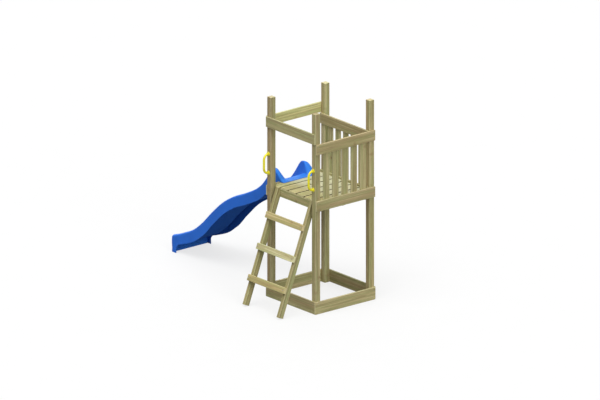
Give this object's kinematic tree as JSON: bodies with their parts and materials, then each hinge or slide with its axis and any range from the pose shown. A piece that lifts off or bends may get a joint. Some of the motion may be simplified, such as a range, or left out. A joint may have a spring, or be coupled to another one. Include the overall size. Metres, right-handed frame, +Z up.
{
  "type": "play tower",
  "caption": "Square timber play tower with a board deck behind slatted fences, a leaning ladder with grab handles, and a wavy moulded slide.",
  "frame": {"origin": "middle of the bounding box's footprint, on the ground", "axes": "+Z up; +Y from the right fence towards the slide's exit; +X from the ladder side towards the back fence"},
  "size_m": [1.3464, 2.8172, 2.4],
  "materials": {
    "treated_pine": "planed, pressure treated, matt",
    "blue_plastic": "satin moulded sheet",
    "yellow_plastic": "satin moulded bar",
    "zinc_steel": "zinc plated"
  },
  "bodies": {
    "root": {"post_front_right": "treated_pine", "post_front_left": "treated_pine", "post_back_right": "treated_pine", "post_back_left": "treated_pine", "base_board_front": "treated_pine", "base_board_right": "treated_pine", "base_board_back": "treated_pine", "base_board_left": "treated_pine", "top_rail_front": "treated_pine", "top_rail_left": "treated_pine", "top_rail_right": "treated_pine", "top_rail_back": "treated_pine", "lower_rail_right": "treated_pine", "lower_rail_back": "treated_pine", "slat_right_1": "treated_pine", "slat_right_2": "treated_pine", "slat_right_3": "treated_pine", "slat_right_4": "treated_pine", "slat_right_5": "treated_pine", "slat_back_1": "treated_pine", "slat_back_2": "treated_pine", "slat_back_3": "treated_pine", "slat_back_4": "treated_pine", "slat_back_5": "treated_pine", "joist_front": "treated_pine", "joist_middle": "treated_pine", "joist_back": "treated_pine", "deck_board_1": "treated_pine", "deck_board_2": "treated_pine", "deck_board_3": "treated_pine", "deck_board_4": "treated_pine", "deck_board_5": "treated_pine", "deck_board_6": "treated_pine", "deck_rim_left": "treated_pine", "ladder_stile_right": "treated_pine", "ladder_stile_left": "treated_pine", "ladder_step_1": "treated_pine", "ladder_step_2": "treated_pine", "ladder_step_3": "treated_pine", "slide": "blue_plastic", "handle_right": "yellow_plastic", "handle_left": "yellow_plastic", "step_screw_1_right": "zinc_steel", "step_screw_1_left": "zinc_steel", "step_screw_2_right": "zinc_steel", "step_screw_2_left": "zinc_steel", "step_screw_3_right": "zinc_steel", "step_screw_3_left": "zinc_steel", "ladder_screw_right": "zinc_steel", "ladder_screw_left": "zinc_steel", "joist_screw_right": "zinc_steel", "joist_screw_left": "zinc_steel", "handle_screw_right_top": "zinc_steel", "handle_screw_right_bottom": "zinc_steel", "handle_screw_left_top": "zinc_steel", "handle_screw_left_bottom": "zinc_steel", "slide_screw_right": "zinc_steel", "slide_screw_left": "zinc_steel"}
  },
  "joints": []
}
